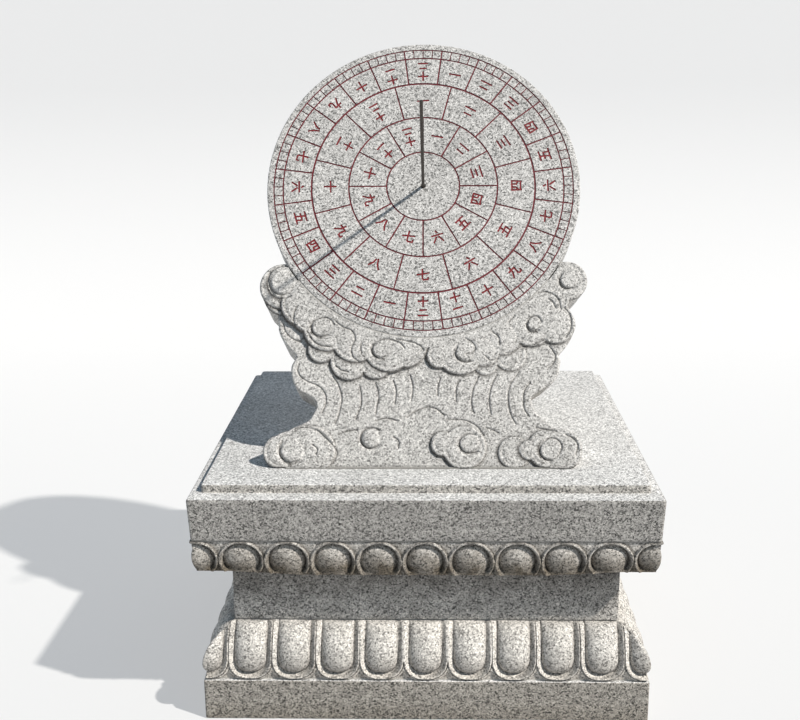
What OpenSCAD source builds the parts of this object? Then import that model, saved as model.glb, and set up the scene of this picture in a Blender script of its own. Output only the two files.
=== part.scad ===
// Garden sundial of granite: a leaning round dial in a cloud-carved stand on a square pedestal.
// Millimetres, +Z up, the dial looks towards -Y, the origin is under the pedestal's centre.

/* [Pedestal] */
// Width of the plain waist block
waist_w = 940; // [760:5:1200]
// Height of the plain waist block
waist_h = 157; // [100:1:260]
// How far the lotus course swells out past the waist
lotus_out = 73; // [40:1:120]
// Height of the lotus course
lotus_h = 125; // [100:1:180]
// How far the plinth's face stays behind the lotus bellies
plinth_back = 3; // [0:1:40]
// Height of the bottom plinth
plinth_h = 103; // [70:1:160]
// Width of the top slab
slab_w = 1112; // [900:2:1500]
// Height of the top slab up to its ledge
slab_h = 103; // [70:1:160]
// Width of the ledge round the slab's raised field
ledge_w = 28; // [10:1:60]
// Rise of the raised field above the ledge
field_h = 20; // [8:1:40]
// How far the bead course stays behind the slab's face
bead_back = 4; // [1:1:20]
// Height of the bead course
bead_h = 77; // [60:1:110]
// Full ornaments on each face, between the two shared corner ones
ornaments = 9; // [5:2:13]
// Bevel on the slab's and plinth's upper edges
bevel = 7; // [2:1:15]
// Thickness of each mortar bed
bed_t = 3; // [2:0.5:8]
// How far the mortar stays back from the narrower stone's face
bed_inset = 4; // [2:1:20]

/* [Dial] */
// Diameter of the dial disc
dial_d = 808; // [640:4:1000]
// Thickness of the dial disc
dial_t = 100; // [60:5:140]
// Lean of the dial from the vertical, equal to the latitude that it is made for
latitude = 28.3; // [20:0.1:36]
// Radius of the outermost engraved ring
scale_r = 386; // [300:1:480]
// Width of an engraved line
line_w = 3; // [2:0.5:5]
// Depth of an engraved ring
line_depth = 2; // [1:0.5:4]
// Depth of an engraved hour line
hour_depth = 1.5; // [0.5:0.5:3.5]

/* [Gnomon] */
// Diameter of the gnomon rod
gnomon_d = 8; // [6:0.5:14]
// Length of the gnomon in front of the dial
gnomon_front = 484; // [300:2:600]
// Length of the gnomon behind the dial
gnomon_back = 160; // [60:2:400]
// Diameter of the hole that the gnomon is set in
gnomon_hole_d = 14; // [10:0.5:24]

/* [Stand] */
// Thickness of the leaning stand, square to its face
stand_t = 160; // [130:2:240]
// Depth of the cloud relief on the stand's face
relief = 22; // [15:1:60]
// Depth of the cloud relief on the stand's foot
foot_relief = 10; // [6:1:25]
// Distance of the stand's front foot edge from the pedestal's centre line
foot_y = 400; // [340:2:460]
// Sideways place of the stand on the pedestal
stand_x = -5; // [-40:1:40]
// Length up the lean from the foot to the dial's lowest rim
cradle_v = 330; // [300:1:460]
// Half width of the stand at its narrow waist
neck_half = 267; // [220:1:320]
// Length up the lean from the foot to the narrowest place
neck_v = 157; // [130:1:240]
// Thickness of the resin between the dial and its seat
resin_t = 3; // [2:0.5:6]

/* [Brace] */
// Width of the stone brace behind the stand
brace_w = 240; // [160:2:320]
// Length up the lean that the brace backs
brace_v = 470; // [380:5:560]
// Depth of the flat top of the brace
brace_top = 70; // [40:2:120]
// Reach of the brace's foot behind its top
brace_reach = 130; // [60:2:200]

/* [Fixings] */
// Diameter of the steel dowels between stones
dowel_d = 20; // [12:1:30]
// Length of the steel dowels between stones
dowel_l = 110; // [80:2:150]
// Distance of the course dowels from the pedestal's centre lines
dowel_xy = 300; // [150:5:360]
// How far the dowels of every second joint are set in
dowel_shift = 60; // [40:5:120]
// Diameter of the pins behind the dial
pin_d = 16; // [10:1:24]
// Length of the pins behind the dial
pin_l = 84; // [60:2:110]
// Gap round a dowel or pin in its hole, filled with grout
fit_gap = 0.3; // [0.1:0.1:1]

/* [Hidden] */
$fn = 64;
// Facets of the large circles in previews
round_fn = 128;
// Overrun of a cutting shape past the face that it opens
past = 5;
// Room left at the end of a dowel or pin
end_gap = 5;
// Larger than the whole object, for half spaces
reach = 3000;

// Widths of the courses that follow from the waist and from the slab
lotus_w = waist_w + 2 * lotus_out;
plinth_w = lotus_w - 2 * plinth_back;
bead_w = slab_w - 2 * bead_back;
field_w = slab_w - 2 * ledge_w;

// Levels of the courses, each on a bed of mortar
lotus_z = plinth_h + bed_t;
waist_z = lotus_z + lotus_h + bed_t;
bead_z = waist_z + waist_h + bed_t;
slab_z = bead_z + bead_h + bed_t;
field_z = slab_z + slab_h + field_h;
foot_z = field_z + bed_t;
joint_z = [for (z = [lotus_z, waist_z, bead_z, slab_z]) z - bed_t / 2];

// Ornament courses: the pitch puts the end ornaments on the corners
lotus_pitch = lotus_w / (ornaments + 1);
bead_pitch = bead_w / (ornaments + 1);
petal_gap = 4;
petal_rim_r = lotus_pitch / 2 - petal_gap / 2;
petal_rim = 14;
petal_belly_r = petal_rim_r - petal_rim;
petal_sink = 8;
petal_nose_z = 20;
petal_top_out = 8;
petal_top_half = waist_w / 2 + petal_top_out;
corner_belly_r = 0.28 * lotus_pitch;
bead_space = 4;
bead_rim_r = bead_pitch / 2 - bead_space / 2;
bead_rim = 7;
bead_ring_gap = 4;
bead_r = bead_rim_r - bead_rim - bead_ring_gap;
bead_nose_z = 60;
bead_undercut = 6;
bead_flats = 3;
corner_bead_r = 0.3 * bead_pitch;
bead_top_edge = 1;
bead_centre_z = bead_h - bead_rim_r - bead_top_edge;
bead_niche = 24;
bead_sink = 4;

// Dial, in the leaning frame: v up the lean from the foot edge, w square out of the face
dial_r = dial_d / 2;
dial_v = cradle_v + dial_r;
drawn_dial_r = 404;
cloud_k = dial_r / drawn_dial_r;
ring_shares = [1, 0.938, 0.747, 0.497, 0.2435];
hour_count = 24;
dial_bevel = 4;

// Clouds of the cradle: [u, v from the dial's lowest rim, radius], drawn for a dial of drawn_dial_r
cradle_left = [
    [-353, 144, 52], [-313, 75, 43], [-288, 55, 39], [-250, 22, 56], [-170, -27, 40], [-85, -30, 60]
];
cradle_right = [
    [43, -40, 42], [90, -40, 60], [210, -5, 36], [270, 35, 58], [330, 35, 50], [295, 62, 55],
    [331, 97, 36], [372, 152, 42]
];
cradle_bridge = [[-10, 8, 36]];
cradle_low = [
    [-257, -30, 35], [-185, -62, 48], [-120, -68, 41], [157, -68, 32], [217, -50, 40]
];
cradle_flank = [[-247, 58, 126], [-285, -75, 48], [290, -62, 46]];
cradle_curls = [
    [-357, 146, 38], [-256, 27, 27], [-103, -31, 26], [103, -33, 26], [277, 35, 20], [367, 155, 24]
];

// Clouds of the foot: [u, v, radius]
foot_front = [
    [-340, 48, 52], [-275, 45, 58], [-135, 62, 62], [50, 60, 34], [90, 66, 57], [219, 41, 38],
    [260, 50, 29], [303, 47, 50], [335, 48, 51]
];
foot_curls = [[-321, 45, 31], [-129, 76, 26], [114, 62, 27], [309, 47, 28]];
curl_w = 5;
curl_depth = 8;
curl_turn = 290;
curl_start_left = 60;
curl_start_right = 100;
relief_low = 0.55 * relief;
pocket_r = dial_r + resin_t;
pocket_depth = dial_t + resin_t;
resin_back = 2;
back_wall_v = cradle_v + 165 * cloud_k;
resin_half = 330 * cloud_k;
resin_top_v = back_wall_v - 15 * cloud_k;
foot_left = foot_front[0].x;
foot_right = foot_front[len(foot_front) - 1].x;
foot_shoulder_v = 100;
foot_flat_v = 120;
cradle_flat_v = 250;
notch_r = 25;
notch_up = 43;
notch_down = 30;

// Fixing places
stand_dowel_x = 200;
stand_dowel_y = stand_t / cos(latitude) / 2;
brace_dowel_x = brace_w / 4;
brace_gap_w = stand_t + bed_t;
brace_front_y = -foot_y + brace_gap_w / cos(latitude);
brace_top_y = -foot_y + brace_v * sin(latitude) + brace_gap_w * cos(latitude);
brace_top_z = brace_v * cos(latitude) - brace_gap_w * sin(latitude);
brace_foot_y = brace_top_y + brace_top + brace_reach;
brace_dowel_y = (brace_front_y + brace_foot_y) / 2;
pin_places = [[0, 100], [-150, 130], [150, 130]];
pin_embed = pin_l / 2;

stone_light = [0.76, 0.75, 0.72];
stone_grey = [0.62, 0.61, 0.58];
mortar_grey = [0.55, 0.53, 0.50];
steel = [0.70, 0.71, 0.73];
resin = [0.72, 0.68, 0.58];
dark_metal = [0.30, 0.27, 0.24];

// Square-plan solid from a profile drawn outwards on X and upwards on Y
module square_moulding() {
    intersection() {
        rotate([90, 0, 0]) linear_extrude(reach, center = true) children();
        rotate([90, 0, 90]) linear_extrude(reach, center = true) children();
    }
}

// Profile of a block with bevelled upper edges
module bevelled_profile(w, h) {
    polygon([
        [-w / 2, 0], [w / 2, 0], [w / 2, h - bevel], [w / 2 - bevel, h], [bevel - w / 2, h],
        [-w / 2, h - bevel]
    ]);
}

// Radius of an arc that falls back by drop over a height
function arc_radius(height, drop) = (height * height + drop * drop) / (2 * drop);

// Profile that bulges out on arcs of radius r round a nose at nose_z
module bulged_profile(half, h, nose_z, r) {
    intersection() {
        translate([-reach / 2, 0]) square([reach, h]);
        union() {
            for (side = [-1, 1]) translate([side * (half - r), nose_z]) circle(r);
            translate([r - half, -reach / 2]) square([2 * (half - r), reach]);
        }
    }
}

// Children drawn for the face at -Y, repeated on all four faces and mitred at the corners
module on_four_faces() {
    for (turn = [0:90:270]) rotate(turn) intersection() {
        children();
        linear_extrude(reach, center = true) polygon([[0, 0], [-reach, -reach], [reach, -reach]]);
    }
}

// Outline in the face's X and Z pushed through the face at -Y
module through_face(half) {
    translate([0, -half / 2, 0]) rotate([90, 0, 0]) linear_extrude(half) children();
}

// Row of ornament places along one face, corners included
function places(pitch) = [for (i = [-(ornaments + 1) / 2:(ornaments + 1) / 2]) i * pitch];

// Row of ornament places along one face, corners left out
function inner_places(pitch) = [for (i = [-(ornaments - 1) / 2:(ornaments - 1) / 2]) i * pitch];

// The four dowel places of a joint, counted from the lowest joint
module at_joint(joint) {
    d = dowel_xy - (joint % 2) * dowel_shift;
    for (x = [-d, d], y = [-d, d]) translate([x, y, joint_z[joint] - dowel_l / 2]) children();
}

// Stone or mortar with its dowel holes drilled at the joints that it meets
module drilled(joints) {
    difference() {
        children();
        for (joint = joints) at_joint(joint) cylinder(d = dowel_d + 2 * fit_gap, h = dowel_l);
    }
}

// Bed of mortar in a joint between stones
module mortar_bed(w, joint) {
    drilled([joint]) translate([0, 0, joint_z[joint]])
        cube([w - 2 * bed_inset, w - 2 * bed_inset, bed_t], center = true);
}

module base_plinth() {
    color(stone_grey) drilled([0]) square_moulding() bevelled_profile(plinth_w, plinth_h);
}

module plinth_mortar() {
    color(mortar_grey) mortar_bed(plinth_w - 2 * bevel, 0);
}

// Outline of upright petals with round lower ends
module petal_outline(r) {
    for (x = places(lotus_pitch)) translate([x, petal_rim_r]) {
        circle(r);
        translate([-r, 0]) square([2 * r, lotus_h]);
    }
}

// Swelling belly of one petal, leaning in towards the waist at its top
module petal_belly(r, x, corner) {
    low_d = lotus_w / 2 - r;
    high_d = petal_top_half - r;
    low = [x + corner * low_d, -low_d, petal_rim_r];
    high = [x + corner * high_d, -high_d, lotus_h + past];
    run = high - low;
    translate(low) rotate([0, acos(run.z / norm(run)), atan2(run.y, run.x)]) rotate_extrude() {
        intersection() {
            circle(r);
            translate([0, -r]) square(r);
        }
        square([r, norm(run)]);
    }
}

module lotus_profile(sink) {
    nose_half = lotus_w / 2 - petal_sink;
    r = arc_radius(lotus_h - petal_nose_z, nose_half - petal_top_half);
    bulged_profile(nose_half - sink, lotus_h, petal_nose_z, r - sink);
}

module lotus_course() {
    color(stone_light) drilled([0, 1]) translate([0, 0, lotus_z]) {
        square_moulding() lotus_profile(petal_sink);
        intersection() {
            square_moulding() lotus_profile(0);
            on_four_faces() through_face(lotus_w / 2) petal_outline(petal_rim_r);
        }
        intersection() {
            translate([0, 0, lotus_h / 2]) cube([reach, reach, lotus_h], center = true);
            for (turn = [0:90:270]) rotate(turn) {
                for (x = inner_places(lotus_pitch)) petal_belly(petal_belly_r, x, 0);
                petal_belly(corner_belly_r, 0, 1);
            }
        }
    }
}

module lotus_mortar() {
    color(mortar_grey) mortar_bed(waist_w, 1);
}

module waist_block() {
    color(stone_grey) drilled([1, 2])
        translate([0, 0, waist_z + waist_h / 2]) cube([waist_w, waist_w, waist_h], center = true);
}

module waist_mortar() {
    color(mortar_grey) mortar_bed(waist_w, 2);
}

// Face of the bead course, falling back below its nose in a few flats
module bead_profile(sink) {
    half = bead_w / 2 - sink;
    fall = [
        for (i = [0:bead_flats]) [bead_undercut * pow(1 - i / bead_flats, 2), bead_nose_z * i / bead_flats]
    ];
    right = concat([for (p = fall) [half - p.x, p.y]], [[half, bead_h]]);
    left = [for (i = [len(right) - 1:-1:0]) [-right[i].x, right[i].y]];
    polygon(concat(right, left));
}

module bead_circles(r) {
    for (x = places(bead_pitch)) translate([x, bead_centre_z]) circle(r);
}

module bead_course() {
    bead_d = bead_w / 2 - bead_r - bead_sink;
    corner_d = bead_w / 2 - corner_bead_r - bead_sink;
    color(stone_grey) drilled([2, 3]) translate([0, 0, bead_z]) {
        square_moulding() bead_profile(bead_niche);
        difference() {
            square_moulding() bead_profile(bead_sink);
            on_four_faces() through_face(bead_w / 2) bead_circles(bead_rim_r - bead_rim);
        }
        intersection() {
            square_moulding() bead_profile(0);
            on_four_faces() through_face(bead_w / 2) difference() {
                bead_circles(bead_rim_r);
                bead_circles(bead_rim_r - bead_rim);
            }
        }
        intersection() {
            translate([0, 0, bead_h / 2]) cube([reach, reach, bead_h], center = true);
            for (turn = [0:90:270]) rotate(turn) {
                for (x = inner_places(bead_pitch)) translate([x, -bead_d, bead_centre_z]) sphere(bead_r);
                translate([-corner_d, -corner_d, bead_centre_z]) sphere(corner_bead_r);
            }
        }
    }
}

module bead_mortar() {
    color(mortar_grey) mortar_bed(bead_w, 3);
}

module top_slab() {
    color(stone_light) drilled([3]) difference() {
        translate([0, 0, slab_z]) {
            square_moulding() bevelled_profile(slab_w, slab_h);
            translate([0, 0, slab_h + field_h / 2 - past / 2])
                cube([field_w, field_w, field_h + past], center = true);
        }
        stand_holes();
        brace_holes();
    }
}

module course_dowels() {
    color(steel) for (joint = [0:len(joint_z) - 1])
        at_joint(joint) cylinder(d = dowel_d, h = dowel_l - end_gap);
}

// Leaning frame: X is u, Y is v up the lean, Z is w square out of the face
module leaning() {
    translate([stand_x, -foot_y, foot_z]) rotate([90 - latitude, 0, 0]) children();
}

// Everything above the bed that the stand and its brace stand on
module above_foot() {
    translate([-reach / 2, -reach / 2, foot_z]) cube(reach);
}

// Lobes of the cradle, placed and sized with the dial
module cradle_lobes(lobes) {
    for (lobe = lobes) translate([lobe.x * cloud_k, cradle_v + lobe.y * cloud_k]) circle(lobe.z * cloud_k);
}

module foot_lobes(lobes) {
    for (lobe = lobes) translate([lobe.x, lobe.y]) circle(lobe.z);
}

// Stone between a row of cradle lobes and the dial's rim
module cradle_fill(lobes) {
    centres = [for (lobe = lobes) [lobe.x * cloud_k, cradle_v + lobe.y * cloud_k]];
    polygon(concat([[0, back_wall_v]], centres));
}

// Rounded wedge that narrows the stand on the right
module neck_notch() {
    up = [cos(notch_up), sin(notch_up)];
    down = [cos(notch_down), -sin(notch_down)];
    start_up = notch_r * [-up.y, up.x];
    start_down = notch_r * [down.y, -down.x];
    translate([neck_half + notch_r, neck_v]) {
        circle(notch_r);
        polygon([[0, 0], start_up, start_up + reach * up, start_down + reach * down, start_down]);
    }
}

// Body of the stand between the foot and the cradle
module neck_outline() {
    difference() {
        polygon([
            [foot_left, 0], [foot_left, foot_shoulder_v], [-neck_half, neck_v],
            [cradle_flank[1].x * cloud_k, cradle_v + cradle_flank[1].y * cloud_k],
            [cradle_flank[0].x * cloud_k, back_wall_v], [-cradle_flank[0].x * cloud_k, back_wall_v],
            [cradle_flank[2].x * cloud_k, cradle_v + cradle_flank[2].y * cloud_k],
            [neck_half, neck_v], [foot_right, foot_shoulder_v], [foot_right, 0]
        ]);
        for (side = [0, 1]) mirror([side, 0]) neck_notch();
    }
}

module stand_outline() {
    neck_outline();
    cradle_lobes(cradle_flank);
    cradle_lobes(cradle_low);
    front_outline();
}

// Side view of the plain stone: its face falls back from the foot to the ground of the upper clouds
module plain_side() {
    rotate([90, 0, 90]) linear_extrude(reach, center = true) polygon([
        [-reach, -stand_t], [reach, -stand_t], [reach, -relief], [cradle_flat_v, -relief],
        [foot_flat_v, -foot_relief], [-reach, -foot_relief]
    ]);
}

// Clouds that stand out to the full depth of the relief
module front_outline() {
    cradle_lobes(cradle_left);
    cradle_fill(cradle_left);
    cradle_lobes(cradle_right);
    cradle_fill(cradle_right);
    cradle_lobes(cradle_bridge);
    foot_lobes(foot_front);
}

// Open ring cut round the knob of a cloud curl
module curl_cut(r, turned) {
    rotate(turned) translate([0, 0, -curl_depth]) rotate_extrude(angle = curl_turn)
        translate([r, 0]) square([curl_w, curl_depth + past]);
}

module cloud_stand() {
    color(stone_light) intersection() {
        above_foot();
        difference() {
            leaning() {
                intersection() {
                    translate([0, 0, -stand_t]) linear_extrude(stand_t) stand_outline();
                    plain_side();
                }
                translate([0, 0, -relief - past]) linear_extrude(relief + past - relief_low)
                    cradle_lobes(cradle_low);
                translate([0, 0, -relief - past]) linear_extrude(relief + past) front_outline();
            }
            leaning() {
                translate([0, dial_v, -pocket_depth])
                    cylinder(r = pocket_r, h = pocket_depth + past, $fn = round_fn);
                for (curl = cradle_curls) translate([curl.x * cloud_k, cradle_v + curl.y * cloud_k, 0])
                    curl_cut(curl.z * cloud_k, curl.x > 0 ? curl_start_right : curl_start_left);
                for (curl = foot_curls) translate([curl.x, curl.y, 0]) curl_cut(curl.z, curl_start_right);
                pin_shapes(fit_gap, 0);
            }
            stand_holes();
        }
    }
}

// Mortar under a flat foot, drawn in plan
module foot_bed() {
    translate([0, 0, field_z]) linear_extrude(bed_t) children();
}

module stand_mortar() {
    depth = stand_t / cos(latitude);
    color(mortar_grey) difference() {
        foot_bed() translate([stand_x + foot_left + bed_inset, bed_inset - foot_y])
            square([foot_right - foot_left - 2 * bed_inset, depth - 2 * bed_inset]);
        stand_holes();
    }
}

module at_stand_dowels() {
    for (side = [-1, 1])
        translate([stand_x + side * stand_dowel_x, stand_dowel_y - foot_y, foot_z - dowel_l / 2]) children();
}

module stand_holes() {
    at_stand_dowels() cylinder(d = dowel_d + 2 * fit_gap, h = dowel_l);
}

module stand_dowels() {
    color(steel) at_stand_dowels() cylinder(d = dowel_d, h = dowel_l - end_gap);
}

// Side view of the brace: it lies against the stand's back and sweeps down behind
module brace_profile() {
    sweep_r = arc_radius(brace_top_z, brace_reach);
    difference() {
        polygon([
            [brace_front_y, 0], [brace_top_y, brace_top_z], [brace_top_y + brace_top, brace_top_z],
            [brace_foot_y, brace_top_z], [brace_foot_y, 0]
        ]);
        translate([brace_top_y + brace_top + sweep_r, brace_top_z]) circle(sweep_r, $fn = 96);
    }
}

module rear_brace() {
    color(stone_light) difference() {
        translate([stand_x, 0, foot_z]) rotate([90, 0, 90])
            linear_extrude(brace_w, center = true) brace_profile();
        brace_holes();
    }
}

module brace_mortar() {
    color(mortar_grey) difference() {
        foot_bed() translate([stand_x + bed_inset - brace_w / 2, brace_front_y + bed_inset])
            square([brace_w - 2 * bed_inset, brace_foot_y - brace_front_y - 2 * bed_inset]);
        brace_holes();
    }
}

module at_brace_dowels() {
    for (side = [-1, 1])
        translate([stand_x + side * brace_dowel_x, brace_dowel_y, foot_z - dowel_l / 2]) children();
}

module brace_holes() {
    at_brace_dowels() cylinder(d = dowel_d + 2 * fit_gap, h = dowel_l);
}

module brace_dowels() {
    color(steel) at_brace_dowels() cylinder(d = dowel_d, h = dowel_l - end_gap);
}

// Resin between the stand's back and the brace
module brace_resin() {
    low_v = brace_gap_w * tan(latitude) + bed_inset;
    color(resin) leaning() translate([bed_inset - brace_w / 2, low_v, -brace_gap_w])
        cube([brace_w - 2 * bed_inset, brace_v - low_v - bed_inset, bed_t]);
}

// Engraved rings and hour lines, cut from the dial's face at w = 0
module dial_lines() {
    bite = line_depth + past;
    for (share = ring_shares) translate([0, 0, -line_depth]) rotate_extrude($fn = round_fn)
        translate([scale_r * share - line_w / 2, 0]) square([line_w, bite]);
    radial_lines(ring_shares[2], ring_shares[0], hour_count, 0.5);
    radial_lines(ring_shares[3], ring_shares[2], hour_count / 2, 0.5);
    radial_lines(ring_shares[4], ring_shares[3], hour_count / 2, 0);
}

// Lines from one ring to the next, the first one set off by a share of the step
module radial_lines(inner, outer, count, offset_share) {
    for (i = [0:count - 1]) rotate(90 + (i + offset_share) * 360 / count)
        translate([scale_r * inner, -line_w / 2, -hour_depth])
            cube([scale_r * (outer - inner), line_w, hour_depth + past]);
}

module dial_disc() {
    color(stone_grey) leaning() translate([0, dial_v, 0]) difference() {
        rotate_extrude($fn = round_fn) polygon([
            [0, 0], [dial_r - dial_bevel, 0], [dial_r, -dial_bevel], [dial_r, dial_bevel - dial_t],
            [dial_r - dial_bevel, -dial_t], [0, -dial_t]
        ]);
        dial_lines();
        translate([0, 0, -dial_t - past]) cylinder(d = gnomon_hole_d, h = dial_t + 2 * past);
        translate([0, -dial_v, 0]) pin_shapes(fit_gap, 0);
    }
}

// Resin bed round the dial's lower rim and behind its lower part
module dial_resin() {
    color(resin) leaning() difference() {
        intersection() {
            translate([0, dial_v, -pocket_depth])
                cylinder(r = pocket_r, h = pocket_depth - resin_back, $fn = round_fn);
            linear_extrude(reach, center = true)
                translate([-resin_half, 0]) square([2 * resin_half, resin_top_v]);
        }
        translate([0, dial_v, -dial_t]) cylinder(r = dial_r, h = dial_t + past, $fn = round_fn);
        pin_shapes(fit_gap, 0);
    }
}

// Pins from the back wall of the cradle into the dial
module pin_shapes(gap, shorter) {
    for (place = pin_places) translate([place.x * cloud_k, cradle_v + place.y * cloud_k, -dial_t - pin_embed])
        cylinder(d = pin_d + 2 * gap, h = pin_l - shorter);
}

module dial_pins() {
    color(steel) leaning() pin_shapes(0, end_gap);
}

module gnomon() {
    color(dark_metal) leaning() translate([0, dial_v, -dial_t - gnomon_back]) {
        cylinder(d = gnomon_d, h = gnomon_back + dial_t + gnomon_front - gnomon_d / 2);
        translate([0, 0, gnomon_back + dial_t + gnomon_front - gnomon_d / 2])
            cylinder(d1 = gnomon_d, d2 = gnomon_d / 2, h = gnomon_d / 2);
    }
}

// Anchoring resin between the gnomon and its hole
module gnomon_resin() {
    color(resin) leaning() translate([0, dial_v, -dial_t]) difference() {
        cylinder(d = gnomon_hole_d - 2 * fit_gap, h = dial_t - line_depth);
        translate([0, 0, -past]) cylinder(d = gnomon_d + 2 * fit_gap, h = dial_t + 2 * past);
    }
}

base_plinth();
plinth_mortar();
lotus_course();
lotus_mortar();
waist_block();
waist_mortar();
bead_course();
bead_mortar();
top_slab();
course_dowels();
stand_mortar();
cloud_stand();
stand_dowels();
brace_mortar();
rear_brace();
brace_dowels();
brace_resin();
dial_disc();
dial_resin();
dial_pins();
gnomon();
gnomon_resin();
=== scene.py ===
import math

import bmesh
import bpy
import numpy as np
from mathutils import Matrix, Vector, noise
from mathutils.geometry import delaunay_2d_cdt


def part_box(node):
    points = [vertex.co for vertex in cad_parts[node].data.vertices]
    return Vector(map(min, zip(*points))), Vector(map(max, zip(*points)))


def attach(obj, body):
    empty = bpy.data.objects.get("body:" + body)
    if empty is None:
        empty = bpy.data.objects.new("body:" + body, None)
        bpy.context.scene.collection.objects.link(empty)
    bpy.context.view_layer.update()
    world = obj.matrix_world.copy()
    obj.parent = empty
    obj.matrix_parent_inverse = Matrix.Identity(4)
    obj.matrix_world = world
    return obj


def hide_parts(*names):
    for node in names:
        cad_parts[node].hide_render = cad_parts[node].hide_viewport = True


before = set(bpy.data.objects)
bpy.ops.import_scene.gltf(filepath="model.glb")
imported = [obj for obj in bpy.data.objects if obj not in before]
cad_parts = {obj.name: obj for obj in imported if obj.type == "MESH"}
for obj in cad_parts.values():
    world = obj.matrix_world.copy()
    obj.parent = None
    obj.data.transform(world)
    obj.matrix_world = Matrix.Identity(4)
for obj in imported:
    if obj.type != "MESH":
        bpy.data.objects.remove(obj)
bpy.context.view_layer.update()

# Metres in a millimetre
MM = 0.001
# Lean of the stand and the dial from the vertical
LATITUDE = math.radians(28.3)
# Sizes of the CAD model in millimetres
STAND_X, FOOT_Y, FOOT_Z = -5.0, -400.0, 600.0
STAND_T = 160.0
CRADLE_V = 330.0
DIAL_R, DIAL_T = 404.0, 100.0
DIAL_V = CRADLE_V + DIAL_R
POCKET_R = DIAL_R + 3.0
POCKET_W = -DIAL_T - 3.0
BACK_WALL_V = CRADLE_V + 165.0
SCALE_R = 386.0
GNOMON_HOLE_R = 7.0
# Petals or beads on a face between its corners, and their spacing as a share of its half width
ORNAMENTS = 9
PITCH_SHARE = 1.964 / (ORNAMENTS + 1)


# Pieces

def placed(name, data):
    """New object in the scene."""
    thing = bpy.data.objects.new(name, data)
    bpy.context.scene.collection.objects.link(thing)
    return thing


def make_piece(name, points, faces, materials, slot, nodes, sharp=35.0, paint=None, shade_and_dirt=None):
    """Mesh in millimetres as a piece of the one body, in place of the named CAD nodes."""
    mesh = bpy.data.meshes.new(name)
    mesh.from_pydata((np.asarray(points) * MM).tolist(), [], faces)
    for material in materials:
        mesh.materials.append(material)
    if paint is not None:
        mesh.polygons.foreach_set("material_index", np.asarray(paint, dtype=np.int32))
    # Painted shade and dirt for each point, which the materials turn into darker colour
    if shade_and_dirt is not None:
        mesh.attributes.new("shade_and_dirt", "FLOAT", "POINT").data.foreach_set("value", np.ravel(shade_and_dirt))
    joined = bmesh.new()
    joined.from_mesh(mesh)
    bmesh.ops.remove_doubles(joined, verts=joined.verts, dist=0.02 * MM)
    joined.to_mesh(mesh)
    joined.free()
    mesh.shade_smooth()
    mesh.set_sharp_from_angle(angle=math.radians(sharp))
    piece = placed(name, mesh)
    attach(piece, "root")
    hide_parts(*nodes)


def grain(points, size, amount, seed):
    """Smooth random height for each point, with bumps of about the given size."""
    shift = Vector((seed, 2.3 * seed, 5.1 * seed))
    return amount * np.array([noise.noise(Vector(p) / size + shift) for p in points])


def smooth_line(points, per_span=6):
    """Dense points of a smooth line through the given ones."""
    p = np.asarray(points, dtype=float)
    ends = np.vstack([2 * p[0] - p[1], p, 2 * p[-1] - p[-2]])
    t = np.linspace(0.0, 1.0, per_span, endpoint=False)[:, None]
    parts = []
    for a, b, c, d in zip(ends, ends[1:], ends[2:], ends[3:]):
        cubic = (3 * b - a - 3 * c + d) * t ** 3
        parts.append(0.5 * (2 * b + (c - a) * t + (2 * a - 5 * b + 4 * c - d) * t ** 2 + cubic))
    return np.vstack(parts + [p[-1:]])


def bell(distance, spread):
    """Smooth bump of height one where the distance is zero."""
    return np.exp(-(distance / spread) ** 2)


def domed(rho, radius, height):
    """Round swelling of the given radius and height."""
    return height * np.sqrt(np.clip(1 - (rho / radius) ** 2, 0.0, 1.0))


# Materials

def set_values(node, **values):
    """Sets a shader node's properties and unlinked inputs."""
    for key, value in values.items():
        if hasattr(node, key):
            setattr(node, key, value)
        else:
            node.inputs[key.replace("_", " ")].default_value = value


def node_of(tree, kind, **values):
    """New shader node with its values set."""
    node = tree.nodes.new(kind)
    set_values(node, **values)
    return node


def ramp_of(tree, value, stops, smooth=True):
    """Colour that a ramp through (position, grey or colour) stops gives a value."""
    node = tree.nodes.new("ShaderNodeValToRGB")
    node.color_ramp.interpolation = "LINEAR" if smooth else "CONSTANT"
    elements = node.color_ramp.elements
    while len(elements) < len(stops):
        elements.new(0.5)
    for element, (position, colour) in zip(elements, stops):
        element.position = position
        if isinstance(colour, float):
            colour = (colour, colour, colour)
        element.color = (*colour, 1.0)
    tree.links.new(value, node.inputs["Fac"])
    return node.outputs["Color"]


def new_material(name):
    """Material with its tree, its principled shader and object coordinates."""
    material = bpy.data.materials.new(name)
    material.use_nodes = True
    tree = material.node_tree
    shader = tree.nodes["Principled BSDF"]
    place = node_of(tree, "ShaderNodeTexCoord")
    return material, tree, shader, place.outputs["Object"]


def textured(tree, place, kind, **values):
    """Texture node fed with the object coordinates."""
    node = node_of(tree, kind, **values)
    tree.links.new(place, node.inputs["Vector"])
    return node


def multiplied(tree, colour, shade):
    """Colour of one socket darkened by another."""
    node = node_of(tree, "ShaderNodeMix", data_type="RGBA", blend_type="MULTIPLY", Factor=1.0)
    tree.links.new(colour, node.inputs["A"])
    tree.links.new(shade, node.inputs["B"])
    return node.outputs["Result"]


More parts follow.
